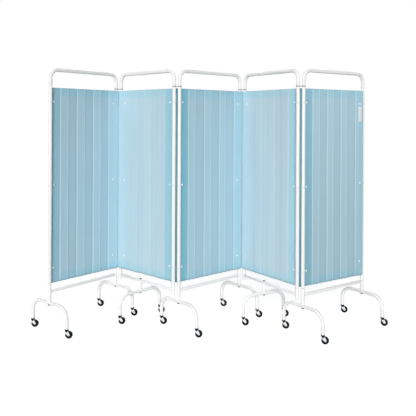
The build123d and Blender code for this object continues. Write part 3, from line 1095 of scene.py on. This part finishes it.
def cloth_strip(name, number, line, low_share, high_share, rows):
    """A strip of cloth on a plan line, between two shares of the curtain's height, and its width."""
    shape = bmesh.new()
    cut = shape.loops.layers.uv.new("cut")
    marks = [shape.verts.layers.float.new(mark) for mark in ("painted_light", "hem", "edge", "painted_sheen")]
    columns = len(line) - 1
    lengths = [0.0]
    for (x, y, *_), (next_x, next_y, *_) in zip(line, line[1:]):
        lengths.append(lengths[-1] + math.hypot(next_x - x, next_y - y))
    places = {}
    for vert in bmesh.ops.create_grid(shape, x_segments=columns, y_segments=rows, size=0.5)["verts"]:
        column = round((vert.co.x + 0.5) * columns)
        share = low_share + (vert.co.y + 0.5) * (high_share - low_share)
        x, y, painted_light, in_hem, edge = line[column]
        height = share * curtain_height
        in_level_hem = min(height, curtain_height - height) < level_hem_width
        vert.co = Vector((x, y, curtain_low_z + height)) + cloth_drift(number, x, share)
        # Painted light and shade: that of the folds and that thrown on the panel.
        brightness = painted_light * painted_light_strengths[number] + light_thrown(number, x, share)
        hem = max(in_hem * side_hem_and_shade_depth(number, x), in_level_hem * level_hem_strength)
        for mark, value in zip(marks, (brightness, hem, edge, painted_sheens.get(number, 0))):
            vert[mark] = value
        places[vert] = (lengths[column], height)
    for face in shape.faces:
        for loop in face.loops:
            loop[cut].uv = places[loop.vert]
    bmesh.ops.transform(shape, matrix=place_of[number], verts=shape.verts)
    piece = put_in_scene(name, shape, curtain_cloth, f"panel_{number}")
    wall = piece.modifiers.new("thickness", "SOLIDIFY")
    wall.thickness = cloth_t
    wall.offset = 0
    return piece, lengths[-1]


trimmings = {number: [] for number in panels}
for number in panels:
    whole_line = runs[number].with_side_hems()
    cloth_strip(f"curtain_{number}_cloth", number, whole_line, 0, 1, cloth_rows)
    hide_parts(f"curtain_{number}")


# Top and bottom hems
# The cloth is turned up behind itself at both ends and folded together with the pleats.
hem_share = level_hem_width / curtain_height
hem_rows = 3
for number in panels:
    for name, low_share, high_share in (("bottom", 0, hem_share), ("top", 1 - hem_share, 1)):
        strip, _ = cloth_strip(
            f"curtain_{number}_{name}_hem", number, runs[number].behind(), low_share, high_share, hem_rows
        )
        trimmings[number].append(strip)


# Hem stitching
# A line of lockstitch holds each hem, in thread a shade lighter than the cloth.
thread_r = 0.22 * mm
stitch_length = 3.2 * mm
stitch_pitch = 4.4 * mm
stitch_inset = 3 * mm
stitch_sides = 6
sewing_thread = hard_finish(
    "sewing_thread", light=(0.62, 0.82, 0.87), dark=(0.52, 0.74, 0.80),
    rough=(0.5, 0.7), grain_scale=2500, stain_scale=200, bump=0.2,
)


def add_trimming(number, name, shape, finish, at=Matrix()):
    """Makes a piece that hangs with a curtain, at its place in the panel."""
    place, body = place_of[number] @ at, f"panel_{number}"
    trimmings[number].append(make_piece(name, shape, place, body, finish))


def add_stitch(shape, number, x, height, run):
    """One stitch on the front of the cloth, lying along the run."""
    at = Vector((x, runs[number].front_y(x) - cloth_t / 2 - thread_r / 2, curtain_low_z + height))
    at += cloth_drift(number, x, height / curtain_height)
    bmesh.ops.create_cone(
        shape, cap_ends=True, cap_tris=False, segments=stitch_sides, radius1=thread_r,
        radius2=thread_r, depth=stitch_length,
        matrix=Matrix.Translation(at) @ run.to_track_quat("Z", "Y").to_matrix().to_4x4(),
    )


for number in panels:
    shape = bmesh.new()
    run = runs[number]
    side_lines = (run.hem_ends[0] - stitch_inset, run.hem_ends[1] + stitch_inset)
    for step in range(int(curtain_height // stitch_pitch)):
        for x in side_lines:
            add_stitch(shape, number, x, (step + 0.5) * stitch_pitch, up)
    level_lines = (level_hem_width - stitch_inset, curtain_height - level_hem_width + stitch_inset)
    for step in range(int((run.right - run.left) // stitch_pitch)):
        for height in level_lines:
            add_stitch(shape, number, run.left + (step + 0.5) * stitch_pitch, height, Vector((1, 0, 0)))
    add_trimming(number, f"curtain_{number}_stitches", shape, sewing_thread)


# Press studs and webbing loops
# Pearly plastic press studs, three down each side, fasten white webbing loops that go round the
# uprights and hold the curtain to them. Beside each left-hand stud of panels 1, 3 and 5 a small
# dark disc is a painted shadow of the stud.
pearl = hard_finish(
    "pearl", light=(0.90, 0.95, 0.96), dark=(0.82, 0.91, 0.93),
    rough=(0.14, 0.26), grain_scale=600, stain_scale=120, bump=0.05,
)
white_webbing = hard_finish(
    "white_webbing", light=(0.84, 0.85, 0.86), dark=(0.72, 0.74, 0.76),
    rough=(0.7, 0.85), grain_scale=1600, stain_scale=300, bump=0.6,
)
stud_heights = (1588 * mm, 1010 * mm, 436 * mm)
stud_reaches = {
    1: (43 * mm, 42 * mm), 2: (60 * mm, 57 * mm), 3: (40 * mm, 38 * mm),
    4: (40 * mm, 52 * mm), 5: (44 * mm, 44 * mm),
}
stud_sides = 24
stud_profile = [
    (0, 4.0 * mm), (2.6 * mm, 3.8 * mm), (4.8 * mm, 2.9 * mm), (6.3 * mm, 1.6 * mm),
    (7.0 * mm, 0.7 * mm), (7.2 * mm, 0.3 * mm), (7.2 * mm, 0), (0, 0),
]
# Small dark discs in the dark steel finish, each a painted shadow of a stud.
stud_shadow_panels = (1, 3, 5)
stud_shadow_past_stud = 11 * mm
stud_shadow_sides = 20
stud_shadow_profile = [
    (0, 0.2 * mm), (1.6 * mm, 0.2 * mm), (1.9 * mm, 0.6 * mm), (2.8 * mm, 0.6 * mm),
    (3.2 * mm, 0.2 * mm), (3.2 * mm, 0), (0, 0),
]
socket_profile = [
    (0, 0.9 * mm), (2.4 * mm, 0.9 * mm), (2.6 * mm, 1.6 * mm), (4.4 * mm, 1.5 * mm),
    (4.8 * mm, 0.9 * mm), (4.8 * mm, 0), (0, 0),
]
loop_half = 7 * mm
loop_inner_r = tube_r + 0.2 * mm
loop_outer_r = tube_r + 0.85 * mm
loop_profile = both_ways([
    (loop_inner_r, -loop_half), (loop_outer_r - 0.1 * mm, -loop_half),
    (loop_outer_r, -loop_half + 0.3 * mm),
], closed=True)
tape_t = 0.6 * mm
tape_edge_round = tape_t / 4
tape_past_stud = 7 * mm
tape_from_tube = tube_r + 1.5 * mm
tape_inset = 0.5 * mm
just_inside = 1 * mm
forward = Matrix.Rotation(math.pi / 2, 4, "X")
backward = Matrix.Rotation(-math.pi / 2, 4, "X")


def tape_shape(start, end, z, half_height=loop_half):
    """A flat tape along the cloth between two places, each an (x, y) point."""
    shape = bmesh.new()
    run = Vector((end[0] - start[0], end[1] - start[1], 0))
    turn = Matrix.Rotation(math.atan2(run.y, run.x), 4, "Z")
    middle = Vector(((start[0] + end[0]) / 2, (start[1] + end[1]) / 2, z))
    size = Matrix.Diagonal((run.length, tape_t, 2 * half_height, 1))
    bmesh.ops.create_cube(shape, size=1, matrix=Matrix.Translation(middle) @ turn @ size)
    round_edges(shape, shape.edges[:], tape_edge_round)
    return shape


for number in panels:
    run = runs[number]
    for side, side_name in enumerate(side_names):
        axis_x = side * panel_width
        inward = 1 - 2 * side
        stud_x = axis_x + inward * stud_reaches[number][side]
        stud_y = run.front_y(stud_x)
        cloth_back = cloth_t / 2 + 2 * layer_pitch
        edge_x = (run.left, run.right)[side]
        behind_tube = run.front_y(edge_x + inward * just_inside) > 0
        tape_start_x = edge_x if behind_tube else axis_x + inward * tape_from_tube
        tape_ends = [
            (x, run.front_y(x) + cloth_back + tape_t / 2)
            for x in (tape_start_x + inward * tape_inset, stud_x + inward * tape_past_stud)
        ]
        for rank, z in zip(("upper", "middle", "lower"), stud_heights):
            name = f"{number}_{side_name}_{rank}"
            at_stud = Matrix.Translation((stud_x, stud_y - cloth_t / 2, z)) @ forward
            add_trimming(number, f"stud_{name}", turned(stud_profile, stud_sides), pearl, at_stud)
            # A small dark disc beside the stud is its painted shadow.
            if number in stud_shadow_panels and side == 0:
                stud_shadow_x = stud_x + stud_shadow_past_stud
                at_stud_shadow = Matrix.Translation((stud_shadow_x, run.front_y(stud_shadow_x) - cloth_t / 2, z)) @ forward
                stud_shadow = turned(stud_shadow_profile, stud_shadow_sides)
                add_trimming(
                    number, f"eyelet_{name}", stud_shadow, blackened_steel, at_stud_shadow
                )
            add_trimming(number, f"tape_{name}", tape_shape(*tape_ends, z), white_webbing)
            at_socket = Matrix.Translation((stud_x, stud_y + cloth_back + tape_t, z)) @ backward
            add_trimming(number, f"socket_{name}", turned(socket_profile, stud_sides), pearl, at_socket)
            loop, at_loop = turned(loop_profile, tube_sides), Matrix.Translation((axis_x, 0, z))
            add_trimming(number, f"loop_{name}", loop, white_webbing, at_loop)


# Sewn tag
# A blank white woven tag, sewn on the front of curtain 5 under its upper right-hand stud.
tag_half = 17 * mm
tag_half_height = 54 * mm
tag_z = 1514 * mm
tag_panel = panels[-1]
tag_x = panel_width - stud_reaches[tag_panel][1]
tag_ends = [
    (x, runs[tag_panel].front_y(x) - cloth_t / 2 - tape_t / 2) for x in (tag_x - tag_half, tag_x + tag_half)
]
tag = tape_shape(*tag_ends, tag_z, tag_half_height)
add_trimming(tag_panel, f"sewn_tag_{tag_panel}", tag, white_webbing)


# Floor, light and camera
# A white studio floor without an edge, broad far lamps from the front, the left and the back, and
# a camera at eye height whose shift holds the whole screen in the frame, its uprights parallel.
def seen_directly(tree):
    """A socket that is 1 where the camera sees a thing, straight or in a gloss or through glass,
    and 0 for the light that falls on things."""
    path = tree.nodes.new("ShaderNodeLightPath")
    seen = path.outputs["Is Camera Ray"]
    for way in ("Is Glossy Ray", "Is Transmission Ray"):
        either = tree.nodes.new("ShaderNodeMath")
        either.operation = "MAXIMUM"
        tree.links.new(seen, either.inputs[0])
        tree.links.new(path.outputs[way], either.inputs[1])
        seen = either.outputs["Value"]
    return seen


floor_half = 6.0
floor_glow = 0.71
floor_colour = (0.66, 0.657, 0.654, 1)
floor_shape = bmesh.new()
bmesh.ops.create_grid(floor_shape, x_segments=1, y_segments=1, size=floor_half)
floor_mesh = bpy.data.meshes.new("floor")
floor_shape.to_mesh(floor_mesh)
floor_shape.free()
floor_white, floor_nodes, floor_links, floor_shader = new_material("floor_white")
floor_shader.inputs["Base Color"].default_value = floor_colour
floor_shader.inputs["Roughness"].default_value = 0.9
floor_shader.inputs["Specular IOR Level"].default_value = 0.0
floor_shader.inputs["Emission Color"].default_value = (1, 1, 1, 1)
floor_level = floor_nodes.new("ShaderNodeMath")
floor_level.operation = "MULTIPLY"
floor_level.inputs[1].default_value = floor_glow
floor_links.new(seen_directly(floor_white.node_tree), floor_level.inputs[0])
floor_links.new(floor_level.outputs["Value"], floor_shader.inputs["Emission Strength"])
floor_mesh.materials.append(floor_white)
floor = bpy.data.objects.new("floor", floor_mesh)
bpy.context.scene.collection.objects.link(floor)

world_light = 0.13
world = bpy.data.worlds.new("studio")
world.use_nodes = True
bpy.context.scene.world = world
background = world.node_tree.nodes["Background"]
background.inputs["Color"].default_value = (1, 1, 1, 1)
world_level = world.node_tree.nodes.new("ShaderNodeMapRange")
world_level.inputs["To Min"].default_value = world_light
world_level.inputs["To Max"].default_value = 1.0
world.node_tree.links.new(seen_directly(world.node_tree), world_level.inputs["Value"])
world.node_tree.links.new(world_level.outputs["Result"], background.inputs["Strength"])


def broad_light(name, azimuth, elevation, level, spread):
    """A far lamp, its azimuth counted from the camera's side towards the left, in degrees. A
    surface of full white square to its light is as bright as the level."""
    lamp = bpy.data.lights.new(name, "SUN")
    lamp.energy = level * math.pi
    lamp.angle = math.radians(spread)
    turn, rise = math.radians(azimuth), math.radians(elevation)
    source = Vector((-math.sin(turn) * math.cos(rise), -math.cos(turn) * math.cos(rise), math.sin(rise)))
    holder = bpy.data.objects.new(name, lamp)
    holder.rotation_euler = (-source).to_track_quat("-Z", "Y").to_euler()
    bpy.context.scene.collection.objects.link(holder)


broad_light("front_light", azimuth=0, elevation=15, level=0.87, spread=25)
broad_light("side_light", azimuth=60, elevation=25, level=0.17, spread=22)
broad_light("back_light", azimuth=180, elevation=11, level=0.55, spread=40)

photo_side = 416
focal_pixels = 607.6
centre_pixel = (210.5, 120.1)
sensor_width = 36.0
camera_roll = math.radians(0.275)
eye_point = (-6.3 * mm, -4385.0 * mm, 1464.8 * mm)
camera_data = bpy.data.cameras.new("camera")
camera_data.sensor_fit = "HORIZONTAL"
camera_data.sensor_width = sensor_width
camera_data.lens = focal_pixels / photo_side * sensor_width
camera_data.shift_x = (photo_side / 2 - centre_pixel[0]) / photo_side
camera_data.shift_y = (centre_pixel[1] - photo_side / 2) / photo_side
camera = bpy.data.objects.new("camera", camera_data)
camera.location = eye_point
camera_turn = Matrix.Rotation(math.pi / 2, 3, "X") @ Matrix.Rotation(camera_roll, 3, "Z")
camera.rotation_euler = camera_turn.to_euler()
bpy.context.scene.collection.objects.link(camera)
bpy.context.scene.camera = camera

bpy.context.scene.view_settings.view_transform = "Standard"
